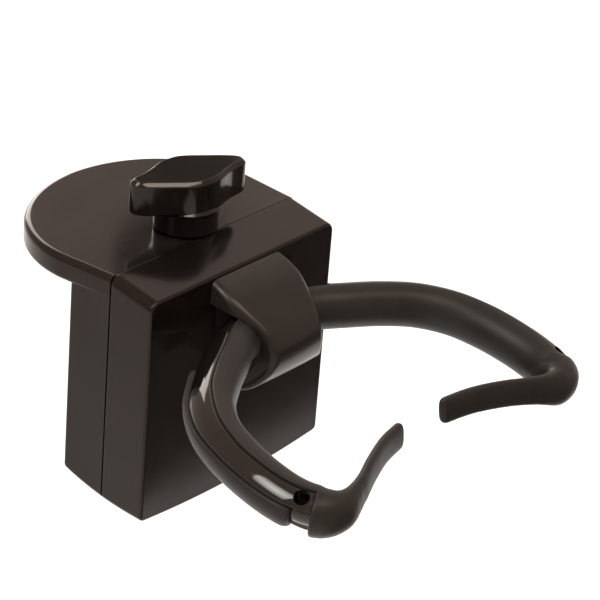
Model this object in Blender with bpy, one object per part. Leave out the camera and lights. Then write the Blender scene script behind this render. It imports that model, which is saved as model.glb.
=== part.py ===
"""Clamp-on guitar dock: a two-shell housing with a round clamp plate on top, a knob and lead screw that
raise a lower jaw through a slot in the back, and a padded yoke on the front that holds a guitar neck.
Lengths are in millimetres and are scaled to metres when a mesh is made.
+Z is up, +Y points to the table, -Y to the guitar; the origin is the middle of the upper clamp pad's face."""
import bpy
import bmesh
import numpy as np
from mathutils import Vector

MM = 0.001
GAP = 0.2

# Housing
HALF_WIDTH = 33.0
SEAM_Y = -30.0
FRONT_Y = -43.3
REAR_Y = -16.7
WALL = 2.4
TOP_Z = 8.0
FRONT_TOP_Z = 5.9
CORNER_BOTTOM_Z = -54.0
BOTTOM_BULGE = 1.8
REAR_BOTTOM_RISE = 3.9
TOP_CORNER_RADIUS = 2.6
SLOT_HALF_WIDTH = 10.4
SLOT_TOP_Z = -1.2
SLOT_BOTTOM_Z = -47.4

# Clamp plate and its pad
PLATE_BOTTOM_Z = 1.5
PLATE_END_Y = 17.0
PLATE_FLARE = 1.2
PLATE_ARC_START_Y = -13.5
PAD_START_Y = -13.6
PAD_INSET = 3.2
PAD_THICK = 1.5

# Lead screw and knob
SCREW_Y = -23.2
SCREW_RADIUS = 3.0
KNOB_TURN_DEG = -21.0
KNOB_BOTTOM_Z = 8.5
KNOB_WING_Z = 14.6
KNOB_TOP_Z = 23.5
KNOB_SKIRT_RADIUS = 8.0

# Jaw
REST_GAP = 6.0
JAW_THICK = 10.0
JAW_HALF_WIDTH = 14.0
JAW_CENTRE_Y = -6.0
JAW_TOP_Z = -REST_GAP - PAD_THICK
JAW_BOTTOM_Z = JAW_TOP_Z - JAW_THICK
JAW_NECK_Y = REAR_Y + 2.3

# Housing screws and yoke bolts
SHELL_SCREW_X = 27.4
SHELL_SCREW_Z = (-5.4, -43.5)
BOLT_X = 6.0
BOLT_Z = -8.0

# Yoke
TUBE_RADIUS = 5.9
CORE_RADIUS = 5.35
HUB_CORE_RADIUS = 5.0
LINER_SEAT = 3.7
STRIP_SEAT = 3.6
LINER_ANGLES = (-70.0, 102.0)
STRIP_ANGLES = (160.0, 262.0)
STRIP_RADIUS = 6.5
CAP_DROOP = 1.13
ARM_POINTS = (
    (0.0, -50.6, -7.8),
    (8.0, -50.9, -7.8),
    (15.0, -52.9, -7.8),
    (22.1, -57.0, -8.0),
    (30.2, -61.6, -8.6),
    (38.0, -67.2, -9.6),
    (43.5, -74.6, -10.9),
    (46.2, -83.0, -12.4),
    (47.3, -91.5, -14.0),
    (47.0, -99.2, -15.4),
    (45.2, -104.8, -16.2),
    (41.5, -109.0, -16.4),
)
TONGUE_POINTS = (
    (39.3, -109.8, -15.7),
    (32.6, -108.0, -14.6),
    (24.8, -104.7, -13.9),
    (16.4, -101.5, -13.8),
    (7.3, -99.1, -14.4),
)
HUB_EXIT = 0.195
CORE_END = 0.936
STRIP_START = 0.335
STRIP_END = 0.895
HOLE_AT = 0.909
HOLE_ANGLE = 126.0
HOLE_RADIUS = 1.85


def material(name, colour, roughness, metallic=0.0):
    mat = bpy.data.materials.new(name)
    mat.use_nodes = True
    shader = mat.node_tree.nodes["Principled BSDF"]
    shader.inputs["Base Color"].default_value = (*colour, 1.0)
    shader.inputs["Roughness"].default_value = roughness
    shader.inputs["Metallic"].default_value = metallic
    mat.diffuse_color = (*colour, 1.0)
    return mat


LOOKS = {
    "plastic": ((0.022, 0.019, 0.017), 0.38, 0.0),
    "gloss": ((0.012, 0.011, 0.010), 0.12, 0.0),
    "rubber": ((0.045, 0.038, 0.033), 0.72, 0.0),
    "steel": ((0.55, 0.55, 0.56), 0.32, 1.0),
    "brass": ((0.62, 0.47, 0.20), 0.35, 1.0),
    "nylon": ((0.70, 0.68, 0.62), 0.45, 0.0),
}


def make(name, verts, faces, look):
    mesh = bpy.data.meshes.new(name)
    mesh.from_pydata([Vector(v) * MM for v in verts], [], [list(f) for f in faces])
    work = bmesh.new()
    work.from_mesh(mesh)
    bmesh.ops.recalc_face_normals(work, faces=work.faces)
    work.to_mesh(mesh)
    work.free()
    obj = bpy.data.objects.new(name, mesh)
    bpy.context.scene.collection.objects.link(obj)
    if look:
        colour, roughness, metallic = LOOKS[look]
        mesh.materials.append(material(name + "_look", colour, roughness, metallic))
    return obj


def loft(name, rings, look=None):
    """Closed solid through rings of equal point count, capped at both ends."""
    count = len(rings[0])
    verts = [p for ring in rings for p in ring]
    faces = []
    for i in range(len(rings) - 1):
        for j in range(count):
            k = (j + 1) % count
            faces.append((i * count + j, i * count + k, (i + 1) * count + k, (i + 1) * count + j))
    faces.append(tuple(range(count)))
    last = (len(rings) - 1) * count
    faces.append(tuple(last + j for j in range(count)))
    return make(name, verts, faces, look)


def set_origin(obj, point):
    shift = Vector(point) * MM
    for vert in obj.data.vertices:
        vert.co -= shift
    obj.location = shift


def boolean(obj, cutter, operation, solver="EXACT"):
    modifier = obj.modifiers.new(operation.lower(), "BOOLEAN")
    modifier.operation = operation
    modifier.solver = solver
    modifier.object = cutter
    bpy.context.view_layer.update()
    graph = bpy.context.evaluated_depsgraph_get()
    result = bpy.data.meshes.new_from_object(obj.evaluated_get(graph))
    obj.modifiers.remove(modifier)
    obj.data = result
    bpy.data.objects.remove(cutter)


def cut(obj, cutter):
    boolean(obj, cutter, "DIFFERENCE")


def join(obj, other):
    boolean(obj, other, "UNION")


def circle(centre, radius, count, axis, at):
    """Ring of points round an axis letter, at a position along it."""
    ring = []
    for i in range(count):
        a = 2.0 * np.pi * i / count
        u = radius * np.cos(a)
        v = radius * np.sin(a)
        if axis == "z":
            ring.append((centre[0] + u, centre[1] + v, at))
        else:
            ring.append((centre[0] + u, at, centre[1] + v))
    return ring


def turned(name, centre, profile, axis="z", count=32, look=None):
    """Solid of revolution from (radius, position) pairs, no radius zero."""
    return loft(name, [circle(centre, r, count, axis, at) for r, at in profile], look)


def box(name, low, high, look=None):
    x0, y0, z0 = low
    x1, y1, z1 = high
    rings = [[(x0, y0, z), (x1, y0, z), (x1, y1, z), (x0, y1, z)] for z in (z0, z1)]
    return loft(name, rings, look)


def hexagon(centre, across_flats, z):
    radius = across_flats / np.sqrt(3.0)
    return [(centre[0] + radius * np.cos(np.pi * k / 3), centre[1] + radius * np.sin(np.pi * k / 3), z)
            for k in range(6)]


def shell_section(y, inset, top, rise):
    """Outline of the housing across X and Z at one depth."""
    half = HALF_WIDTH - inset
    radius = max(TOP_CORNER_RADIUS - inset, 0.4)
    low_radius = max(1.6 - inset, 0.4)
    upper = top - inset
    points = []
    for a in np.linspace(0.0, 90.0, 6):
        c = np.cos(np.radians(a))
        s = np.sin(np.radians(a))
        points.append((half - radius + radius * c, upper - radius + radius * s))
    right_top = list(points)
    left_top = [(-x, z) for x, z in reversed(right_top)]
    bottom = []
    for x in np.linspace(-half, half, 15):
        z = CORNER_BOTTOM_Z - BOTTOM_BULGE * (1.0 - (x / HALF_WIDTH) ** 2) + rise + inset
        bottom.append((x, z))
    first = bottom[0][1]
    corner_left = [(-half, first + low_radius), (-half + 0.3 * low_radius, first + 0.3 * low_radius)]
    corner_right = [(-x, z) for x, z in reversed(corner_left)]
    ring = right_top + left_top + corner_left + bottom[1:-1] + corner_right
    return [(x, y, z) for x, z in ring]


def bottom_rise(y):
    return REAR_BOTTOM_RISE * max((y - FRONT_Y) / (REAR_Y - FRONT_Y), 0.0) ** 2.3


def front_top(y):
    return TOP_Z + 0.3 + (FRONT_TOP_Z - TOP_Z - 0.3) * (SEAM_Y - y) / (SEAM_Y - FRONT_Y)


def front_shell():
    outer = []
    depths = ((FRONT_Y, 0.7), (FRONT_Y + 0.25, 0.2), (FRONT_Y + 0.8, 0.0), (FRONT_Y + 5.0, 0.0),
              (FRONT_Y + 9.0, 0.0), (SEAM_Y - 0.3, 0.0), (SEAM_Y, 0.3))
    for y, inset in depths:
        outer.append(shell_section(y, inset, front_top(y), bottom_rise(y)))
    shell = loft("front_housing", outer, "plastic")
    inner = []
    for y in np.linspace(FRONT_Y + WALL, SEAM_Y + 1.0, 4):
        inner.append(shell_section(y, WALL, front_top(y), bottom_rise(y)))
    cut(shell, loft("inner", inner))
    for x in (-SHELL_SCREW_X, SHELL_SCREW_X):
        for z in SHELL_SCREW_Z:
            boss = turned("boss", (x, z), ((3.6, FRONT_Y + 1.2), (3.6, SEAM_Y - 0.3)), "y", 16)
            join(shell, boss)
            cut(shell, turned("pilot", (x, z), ((1.75, FRONT_Y + 3.2), (1.75, SEAM_Y + 1.0)), "y", 16))
    for x in (-BOLT_X, BOLT_X):
        hole = ((2.25, FRONT_Y - 1.0), (2.25, FRONT_Y + 4.0))
        cut(shell, turned("bolt_hole", (x, BOLT_Z), hole, "y", 16))


def plate_outline(inset, start):
    """Plan outline: straight sides from the seam, then a half-ellipse end."""
    half = HALF_WIDTH - inset
    ring = [(half, start)]
    for a in np.linspace(0.0, np.pi, 35):
        x = (half + PLATE_FLARE) * np.cos(a)
        y = PLATE_ARC_START_Y + (PLATE_END_Y - inset - PLATE_ARC_START_Y) * np.sin(a)
        ring.append((x, y))
    ring.append((-half, start))
    return ring


def rear_shell():
    start = SEAM_Y + 0.3
    stations = [start] + list(np.linspace(start + 1.5, REAR_Y - 0.6, 7)) + [REAR_Y - 0.2, REAR_Y]
    outer = []
    for y in stations:
        inset = {REAR_Y: 0.7, REAR_Y - 0.2: 0.25}.get(y, 0.02)
        outer.append(shell_section(y, inset, 6.0, bottom_rise(y)))
    shell = loft("rear_housing", outer, "plastic")
    levels = ((PLATE_BOTTOM_Z, 1.3), (1.75, 0.75), (2.3, 0.3), (3.2, 0.0), (6.4, 0.0), (7.3, 0.3),
              (7.8, 0.85), (TOP_Z, 1.6))
    rings = [[(x, y, z) for x, y in plate_outline(inset, start)] for z, inset in levels]
    join(shell, loft("plate", rings))
    inner = []
    for y in np.linspace(SEAM_Y - 1.0, REAR_Y - WALL, 6):
        inner.append(shell_section(y, WALL, PLATE_BOTTOM_Z + WALL, bottom_rise(y)))
    cut(shell, loft("inner", inner))
    for x in (-SHELL_SCREW_X, SHELL_SCREW_X):
        for z in SHELL_SCREW_Z:
            join(shell, turned("boss", (x, z), ((4.0, start), (4.0, REAR_Y - 1.2)), "y", 16))
            hole = ((1.85, start - 1.0), (1.85, REAR_Y - 6.0), (3.2, REAR_Y - 5.9), (3.2, REAR_Y + 1.0))
            cut(shell, turned("hole", (x, z), hole, "y", 16))
    axis = (0.0, SCREW_Y)
    join(shell, turned("foot", axis, ((5.0, -50.9), (5.0, SLOT_BOTTOM_Z)), "z", 24))
    cut(shell, turned("foot_hole", axis, ((3.2, -50.4), (3.2, SLOT_BOTTOM_Z + 1.0)), "z", 24))
    cut(shell, turned("ring_relief", axis, ((5.0, SLOT_TOP_Z - 0.6), (5.0, PLATE_BOTTOM_Z)), "z", 24))
    cut(shell, turned("stem_hole", axis, ((3.4, 0.0), (3.4, 7.0), (6.1, 7.01), (6.1, 9.0)), "z", 28))
    low = (-SLOT_HALF_WIDTH, REAR_Y - 3.4, SLOT_BOTTOM_Z)
    cut(shell, box("slot", low, (SLOT_HALF_WIDTH, REAR_Y + 1.0, SLOT_TOP_Z)))


def jaw_outline(inset, neck_half, neck_y, back_y):
    """Plan outline of the jaw tongue with its round end, from the slot to the tip."""
    half = JAW_HALF_WIDTH - inset
    ring = [(neck_half, back_y), (neck_half, neck_y)]
    ring += [(half - 1.6, neck_y + inset), (half, neck_y + 1.6 + inset)]
    for a in np.linspace(0.0, np.pi, 25):
        ring.append((half * np.cos(a), JAW_CENTRE_Y + half * np.sin(a)))
    ring += [(-half, neck_y + 1.6 + inset), (-half + 1.6, neck_y + inset)]
    ring += [(-neck_half, neck_y), (-neck_half, back_y)]
    return ring


def jaw():
    levels = ((JAW_BOTTOM_Z, 0.8), (JAW_BOTTOM_Z + 0.8, 0.0), (JAW_TOP_Z - 0.5, 0.0), (JAW_TOP_Z, 0.5))
    rings = []
    for z, inset in levels:
        outline = jaw_outline(inset, 9.9, JAW_NECK_Y, REAR_Y - 3.6)
        rings.append([(x, y, z) for x, y in outline])
    body = loft("jaw", rings, "plastic")
    join(body, box("carriage", (-14.0, -28.2, JAW_BOTTOM_Z), (14.0, REAR_Y - 3.0, JAW_TOP_Z)))
    nut_z = JAW_TOP_Z - 7.2
    cut(body, box("nut_slot", (-5.3, -29.0, nut_z), (5.3, SCREW_Y + 3.0, nut_z + 5.4)))
    pocket = [hexagon((0.0, SCREW_Y), 10.6, z) for z in (nut_z, nut_z + 5.4)]
    cut(body, loft("nut_pocket", pocket))
    bore = ((3.4, JAW_BOTTOM_Z - 1.0), (3.4, JAW_TOP_Z + 1.0))
    cut(body, turned("screw_hole", (0.0, SCREW_Y), bore, "z", 24))
    for x0, x1 in ((-11.0, -5.9), (-3.9, 3.9), (5.9, 11.0)):
        cut(body, box("rib_pocket", (x0, -12.8, JAW_BOTTOM_Z - 1.0), (x1, -3.0, JAW_BOTTOM_Z + 6.0)))
    set_origin(body, (0.0, SCREW_Y, JAW_TOP_Z))
    pad_low = JAW_TOP_Z + GAP
    pad_levels = ((pad_low, 1.2), (pad_low + 0.8, 1.2), (JAW_TOP_Z + PAD_THICK, 1.6))
    pad_rings = []
    for z, inset in pad_levels:
        outline = jaw_outline(inset, 9.0, JAW_NECK_Y + 0.6, JAW_NECK_Y + 0.3)
        pad_rings.append([(x, y, z) for x, y in outline])
    pad = loft("jaw_pad", pad_rings, "rubber")
    set_origin(pad, (0.0, SCREW_Y, JAW_TOP_Z))
    nut = loft("jaw_nut", [hexagon((0.0, SCREW_Y), 10.0, z) for z in (nut_z + 0.2, nut_z + 5.2)], "brass")
    cut(nut, turned("bore", (0.0, SCREW_Y), ((3.25, nut_z - 1.0), (3.25, nut_z + 6.0)), "z", 24))
    set_origin(nut, (0.0, SCREW_Y, JAW_TOP_Z))


def knob_outline(inset):
    """Plan outline that repeats after half a turn: each wing is swept on one side and hollow on the other."""
    half = ((16.0, 1.2), (15.6, 2.6), (14.4, 3.7), (12.2, 4.7), (9.2, 5.8), (6.2, 6.8), (3.2, 7.75), (0.2, 8.15),
            (-2.6, 7.55), (-5.0, 6.6), (-7.0, 5.3), (-8.7, 4.0), (-10.4, 2.8), (-12.5, 1.65), (-14.4, 0.75),
            (-15.6, -0.1))
    coarse = [np.array(p) for p in half] + [-np.array(p) for p in half]
    points = []
    for i in range(len(coarse)):
        before, here, after, far = (coarse[(i + k) % len(coarse)] for k in (-1, 0, 1, 2))
        points += [here, (9.0 * (here + after) - before - far) / 16.0]
    ring = []
    turn = np.radians(KNOB_TURN_DEG)
    count = len(points)
    for i in range(count):
        along = points[(i + 1) % count] - points[i - 1]
        normal = np.array((along[1], -along[0])) / np.linalg.norm(along)
        x, y = points[i] - normal * inset
        ring.append((x * np.cos(turn) - y * np.sin(turn), x * np.sin(turn) + y * np.cos(turn) + SCREW_Y))
    return ring


def knob():
    levels = ((KNOB_WING_Z, 0.9), (KNOB_WING_Z + 0.8, 0.0), (KNOB_TOP_Z - 1.1, 0.0), (KNOB_TOP_Z - 0.35, 0.4),
              (KNOB_TOP_Z, 1.1))
    body = loft("knob", [[(x, y, z) for x, y in knob_outline(inset)] for z, inset in levels], "gloss")
    skirt = ((7.6, KNOB_BOTTOM_Z), (KNOB_SKIRT_RADIUS, KNOB_BOTTOM_Z + 0.4),
             (KNOB_SKIRT_RADIUS, KNOB_WING_Z + 2.0))
    join(body, turned("skirt", (0.0, SCREW_Y), skirt, "z", 40))
    pocket = [hexagon((0.0, SCREW_Y), 10.4, z) for z in (KNOB_BOTTOM_Z - 1.0, 18.2)]
    cut(body, loft("pocket", pocket))
    set_origin(body, (0.0, SCREW_Y, TOP_Z))


def lead_screw():
    head = [hexagon((0.0, SCREW_Y), 10.0, z) for z in (13.6, 17.9)]
    body = loft("clamp_screw", head, "steel")
    shank = ((2.0, -49.8), (2.0, -46.3), (SCREW_RADIUS, -45.9), (SCREW_RADIUS, 0.5), (2.4, 0.51), (2.4, 1.19),
             (SCREW_RADIUS, 1.2), (SCREW_RADIUS, 14.5))
    join(body, turned("shank", (0.0, SCREW_Y), shank, "z", 24))
    set_origin(body, (0.0, SCREW_Y, TOP_Z))
    ring = turned("retaining_ring", (0.0, SCREW_Y), ((4.6, 0.6), (4.6, 1.1)), "z", 24, "steel")
    cut(ring, turned("bore", (0.0, SCREW_Y), ((2.55, 0.0), (2.55, 2.0)), "z", 24))
    cut(ring, box("mouth", (-1.8, SCREW_Y - 7.0, 0.0), (1.8, SCREW_Y, 2.0)))
    set_origin(ring, (0.0, SCREW_Y, TOP_Z))
    washer = turned("thrust_washer", (0.0, SCREW_Y), ((5.9, 7.2), (5.9, 8.3)), "z", 28, "nylon")
    cut(washer, turned("bore", (0.0, SCREW_Y), ((3.3, 6.0), (3.3, 9.0)), "z", 24))
    bush = ((3.0, -50.2), (3.0, SLOT_BOTTOM_Z + 0.1), (4.4, SLOT_BOTTOM_Z + 0.15), (4.4, SLOT_BOTTOM_Z + 0.8))
    foot = turned("foot_bush", (0.0, SCREW_Y), bush, "z", 24, "nylon")
    cut(foot, turned("bore", (0.0, SCREW_Y), ((2.2, -51.0), (2.2, -45.0)), "z", 24))


def plate_pad():
    start = PAD_START_Y
    levels = ((0.0, PAD_INSET + 0.3), (0.4, PAD_INSET), (PLATE_BOTTOM_Z - GAP, PAD_INSET))
    rings = []
    for z, inset in levels:
        rings.append([(x, max(y, start), z) for x, y in plate_outline(inset, start)[1:-1]])
    loft("plate_pad", rings, "rubber")


def shell_screws():
    names = {(-1, 0): "housing_screw_top_left", (1, 0): "housing_screw_top_right",
             (-1, 1): "housing_screw_bottom_left", (1, 1): "housing_screw_bottom_right"}
    for (side, row), name in names.items():
        centre = (side * SHELL_SCREW_X, SHELL_SCREW_Z[row])
        seat = REAR_Y - 5.75
        profile = ((0.6, seat - 15.0), (1.5, seat - 12.8), (1.5, seat), (2.7, seat + 0.05), (2.7, seat + 1.4),
                   (2.1, seat + 2.1))
        screw = turned(name, centre, profile, "y", 16, "steel")
        for low, high in (((-1.9, -0.32), (1.9, 0.32)), ((-0.32, -1.9), (0.32, 1.9))):
            cut(screw, box("cross", (centre[0] + low[0], seat + 1.0, centre[1] + low[1]),
                           (centre[0] + high[0], seat + 3.0, centre[1] + high[1])))


def spline(points, count):
    """Catmull-Rom curve through the points, resampled to equal steps."""
    p = np.array(points, float)
    p = np.vstack([2 * p[0] - p[1], p, 2 * p[-1] - p[-2]])
    dense = []
    for i in range(1, len(p) - 2):
        for t in np.linspace(0.0, 1.0, 24, endpoint=False):
            a = 2 * p[i]
            b = p[i + 1] - p[i - 1]
            c = 2 * p[i - 1] - 5 * p[i] + 4 * p[i + 1] - p[i + 2]
            d = -p[i - 1] + 3 * p[i] - 3 * p[i + 1] + p[i + 2]
            dense.append(0.5 * (a + b * t + c * t * t + d * t ** 3))
    dense.append(p[-2])
    dense = np.array(dense)
    length = np.concatenate([[0.0], np.cumsum(np.linalg.norm(np.diff(dense, axis=0), axis=1))])
    at = np.linspace(0.0, length[-1], count)
    return np.column_stack([np.interp(at, length, dense[:, k]) for k in range(3)])


def frames(path):
    """Tangent, inward and upward unit vectors at each point of a yoke path."""
    tangent = np.gradient(path, axis=0)
    tangent /= np.linalg.norm(tangent, axis=1)[:, None]
    up = np.array((0.0, 0.12, 1.0))
    up = up - tangent * (tangent @ up)[:, None]
    up /= np.linalg.norm(up, axis=1)[:, None]
    inward = np.cross(tangent, up)
    return tangent, inward, up


def stations(curve, start, end, count):
    """Points, inward and upward directions between two fractions of a curve's length."""
    at = np.linspace(start, end, count) * (len(curve) - 1)
    index = np.arange(len(curve))
    tangent, inward, up = frames(curve)

    def pick(values):
        return np.column_stack([np.interp(at, index, values[:, k]) for k in range(3)])

    return pick(curve), pick(inward), pick(up)


def rings_along(track, sections):
    """One ring per station; a section is points as (inward, up)."""
    points, inward, up = track
    rings = []
    for i, section in enumerate(sections):
        rings.append([tuple(points[i] + inward[i] * u + up[i] * v) for u, v in section])
    return rings


def arc(radius, low, high, count):
    angles = np.radians(np.linspace(low, high, count))
    return [(radius * np.cos(a), radius * np.sin(a)) for a in angles]


def core_section(fill):
    """Yoke core: bare outer-top band and lower edge stand proud of the seats for the liner and strip."""
    bare_low = LINER_ANGLES[1]
    bare_high = STRIP_ANGLES[0]
    seat = LINER_SEAT + (HUB_CORE_RADIUS - LINER_SEAT) * fill
    strip = STRIP_SEAT + (HUB_CORE_RADIUS - STRIP_SEAT) * fill
    bare = CORE_RADIUS + (HUB_CORE_RADIUS - CORE_RADIUS) * fill
    ring = arc(seat, LINER_ANGLES[0] + 1.0, bare_low - 1.0, 11)
    ring += arc(bare, bare_low + 2.5, bare_high - 2.5, 6)
    ring += arc(strip, bare_high + 1.0, STRIP_ANGLES[1] - 1.0, 6)
    ring += arc(HUB_CORE_RADIUS, STRIP_ANGLES[1] + 3.0, LINER_ANGLES[0] + 357.0, 3)
    return ring


def mirrored(rings):
    return [[(-x, y, z) for x, y, z in ring] for ring in rings]


def yoke_frame():
    arm = spline(ARM_POINTS, 241)
    count = 27
    track = stations(arm, 0.0, CORE_END, count)
    sections = []
    for at in np.linspace(0.0, CORE_END, count):
        sections.append(core_section(float(np.clip((HUB_EXIT - 0.02 - at) / 0.02, 0.0, 1.0))))
    right = rings_along(track, sections)
    body = loft("yoke_frame", mirrored(right)[:0:-1] + right, "gloss")
    join(body, box("block", (-10.5, -51.4, -16.4), (10.5, FRONT_Y - GAP, -2.0)))
    for x in (-BOLT_X, BOLT_X):
        cut(body, turned("thread", (x, BOLT_Z), ((2.25, -51.0), (2.25, FRONT_Y + 1.0)), "y", 16))
    for side in (-1.0, 1.0):
        cut(body, loft("hole", end_hole(arm, side)))
    return body


def end_hole(arm, side):
    """Blind round hole sunk in the bare band of the core just before its end."""
    points, inward, up = (v[0] for v in stations(arm, HOLE_AT, HOLE_AT, 1))
    angle = np.radians(HOLE_ANGLE)
    axis = inward * np.cos(angle) + up * np.sin(angle)
    along = np.cross(up, inward)
    across = np.cross(axis, along)
    rings = []
    for depth in (-1.4, 8.0):
        ring = []
        for k in range(18):
            a = 2 * np.pi * k / 18
            x, y, z = points + axis * depth + HOLE_RADIUS * (along * np.cos(a) + across * np.sin(a))
            ring.append((side * x, y, z))
        rings.append(ring)
    return rings


def band_section(outer, inner, low, high, count, lip):
    """Crescent between two radii over an arc, its outer edges eased by a lip."""
    ring = arc(inner, low, high, count)
    ring += arc(outer - lip, high, high, 1)
    ring += list(reversed(arc(outer, low + 4.0, high - 4.0, count)))
    ring += arc(outer - lip, low, low, 1)
    return ring


def both_sides(name, track, sections, look):
    """The right-hand solid and its mirror image, as NAME_left and NAME_right."""
    rings = rings_along(track, sections)
    return loft(name + "_left", mirrored(rings), look), loft(name + "_right", rings, look)


def yoke_pads():
    arm = spline(ARM_POINTS, 241)
    count = 23
    low, high = LINER_ANGLES
    liner = band_section(TUBE_RADIUS, LINER_SEAT + GAP, low + 2.5, high - 2.5, 11, 0.5)
    both_sides("liner", stations(arm, HUB_EXIT, CORE_END, count), [liner] * count, "rubber")
    count = 16
    seat = STRIP_SEAT + GAP
    sections = []
    for i in range(count):
        ease = min(1.0, i / 1.5 + 0.55, (count - 1 - i) / 2.0 + 0.35)
        outer = seat + (STRIP_RADIUS - seat) * ease
        low, high = STRIP_ANGLES
        sections.append(band_section(outer, seat, low + 2.5, high - 2.5, 6, 0.4 * ease))
    both_sides("strip", stations(arm, STRIP_START, STRIP_END, count), sections, "rubber")


def superellipse(half_in, half_up, power, count=24):
    ring = []
    for k in range(count):
        a = 2 * np.pi * k / count
        c = np.cos(a)
        s = np.sin(a)
        ring.append((half_in * np.sign(c) * abs(c) ** power, half_up * np.sign(s) * abs(s) ** power))
    return ring


def end_caps_and_tongues():
    arm = spline(ARM_POINTS, 241)
    count = 9
    sections = []
    for i in range(count):
        t = i / (count - 1)
        size = TUBE_RADIUS - 1.6 * t ** 3
        section = superellipse(size - 1.3 * t ** 2, size, 1.0 - 0.1 * t)
        sections.append([(u, v * (CAP_DROOP if v < 0.0 else 1.0)) for u, v in section])
    caps = both_sides("end_cap", stations(arm, CORE_END + 0.004, 1.0, count), sections, "rubber")
    hinge = TONGUE_POINTS[0]
    for cap, side in zip(caps, (-1.0, 1.0)):
        profile = ((3.1, hinge[2] - 9.0), (3.1, hinge[2] + 9.0))
        cut(cap, turned("clearance", (side * hinge[0], hinge[1]), profile, "z", 28))
    count = 15
    curve = spline(TONGUE_POINTS, 121)
    sections = []
    for i in range(count):
        t = i / (count - 1)
        thick = 1.4 - 0.15 * t
        if i == 0:
            thick = 1.0
        if i == count - 1:
            thick *= 0.5
        half_up = 3.7 - 0.4 * t - (0.5 if i == count - 1 else 0.0)
        sections.append(superellipse(thick, half_up, 0.72, 16))
    tongues = both_sides("tongue", stations(curve, 0.0, 1.0, count), sections, "rubber")
    for tongue, side in zip(tongues, (-1.0, 1.0)):
        profile = ((1.6, hinge[2] - 3.7), (2.4, hinge[2] - 3.1), (2.4, hinge[2] + 3.1), (1.6, hinge[2] + 3.7))
        join(tongue, turned("knuckle", (side * hinge[0], hinge[1]), profile, "z", 18))
        set_origin(tongue, (side * hinge[0], hinge[1], hinge[2]))


def saddle_cushion():
    """Cowl over the hub; each row is outer y and z, inner y and z, and half width, from top to bottom."""
    rows = (
        (FRONT_Y - GAP, 5.1, FRONT_Y - GAP, -0.9, 12.6),
        (-46.5, 4.1, -46.5, -1.0, 12.8),
        (-50.0, 2.4, -49.5, -1.1, 13.0),
        (-53.3, 0.2, -52.6, -1.75, 13.0),
        (-56.5, -2.1, -55.0, -2.9, 13.0),
        (-59.3, -4.5, -57.0, -5.2, 13.1),
        (-61.3, -7.3, -57.7, -8.0, 13.2),
        (-62.0, -10.2, -57.6, -10.6, 13.4),
        (-61.4, -13.4, -57.0, -12.6, 13.7),
        (-60.0, -16.0, -55.9, -14.6, 14.2),
        (-57.9, -18.2, -54.6, -16.2, 15.0),
        (-55.8, -19.0, -53.4, -17.2, 15.4),
    )
    rings = []
    for x in np.linspace(-1.0, 1.0, 13):
        edge = 0.5 if abs(x) > 0.99 else 0.0
        dome = 0.28 * (1.0 - x * x)
        ring = []
        for y, z, y_in, z_in, half in rows:
            scale = edge / max(np.hypot(y - y_in, z - z_in), 0.1)
            ring.append((x * half, y + (y_in - y) * scale - dome, z + (z_in - z) * scale))
        ring[0] = (ring[0][0], FRONT_Y - GAP, ring[0][2])
        ring += [(x * half, y_in, z_in) for y, z, y_in, z_in, half in reversed(rows)]
        rings.append(ring)
    loft("saddle_cushion", rings, "rubber")


def yoke_hardware():
    near = FRONT_Y + WALL + GAP
    plate = box("backing_plate", (-13.0, near, -14.0), (13.0, near + 1.5, -2.0), "steel")
    for x in (-BOLT_X, BOLT_X):
        hole = ((2.4, FRONT_Y), (2.4, FRONT_Y + 8.0))
        cut(plate, turned("hole", (x, BOLT_Z), hole, "y", 16))
    seat = near + 1.5 + GAP
    for x, name in ((-BOLT_X, "yoke_bolt_left"), (BOLT_X, "yoke_bolt_right")):
        profile = ((1.6, -50.6), (2.0, -50.1), (2.0, seat), (3.5, seat + 0.05), (3.5, seat + 3.2),
                   (3.1, seat + 3.6))
        bolt = turned(name, (x, BOLT_Z), profile, "y", 16, "steel")
        socket = [circle((x, BOLT_Z), 1.75, 6, "y", y) for y in (seat + 1.4, seat + 5.0)]
        cut(bolt, loft("socket", socket))


for old in list(bpy.data.objects):
    bpy.data.objects.remove(old)
front_shell()
rear_shell()
plate_pad()
shell_screws()
lead_screw()
knob()
jaw()
yoke_frame()
yoke_pads()
end_caps_and_tongues()
saddle_cushion()
yoke_hardware()
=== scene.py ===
"""Looks of the clamp-on guitar holder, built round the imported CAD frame.
Shapes are worked out in millimetres and scaled to metres when a mesh is made.
+Z is up, +Y points to the table, -Y to the guitar; the origin is the middle of the upper pad's face."""
import math

import bmesh
import bpy
import numpy as np
from mathutils import Matrix, Vector


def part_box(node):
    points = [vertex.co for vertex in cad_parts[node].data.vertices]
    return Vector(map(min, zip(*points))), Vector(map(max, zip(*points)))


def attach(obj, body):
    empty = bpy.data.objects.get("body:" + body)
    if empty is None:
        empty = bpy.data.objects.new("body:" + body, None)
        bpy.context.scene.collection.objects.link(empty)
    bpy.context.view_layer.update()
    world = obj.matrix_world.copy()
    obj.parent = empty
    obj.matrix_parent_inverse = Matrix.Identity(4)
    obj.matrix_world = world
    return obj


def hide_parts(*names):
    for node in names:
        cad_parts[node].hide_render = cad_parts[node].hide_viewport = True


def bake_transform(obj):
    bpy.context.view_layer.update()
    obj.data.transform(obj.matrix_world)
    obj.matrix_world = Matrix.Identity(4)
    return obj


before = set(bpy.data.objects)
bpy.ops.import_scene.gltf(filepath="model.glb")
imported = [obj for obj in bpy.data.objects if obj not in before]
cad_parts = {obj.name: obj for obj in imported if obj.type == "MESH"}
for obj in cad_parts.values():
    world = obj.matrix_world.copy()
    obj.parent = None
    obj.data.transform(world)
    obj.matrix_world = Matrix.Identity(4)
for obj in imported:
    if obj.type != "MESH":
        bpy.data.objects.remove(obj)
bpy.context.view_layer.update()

MM = 0.001


def box_mm(node):
    low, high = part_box(node)
    return low / MM, high / MM


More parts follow.
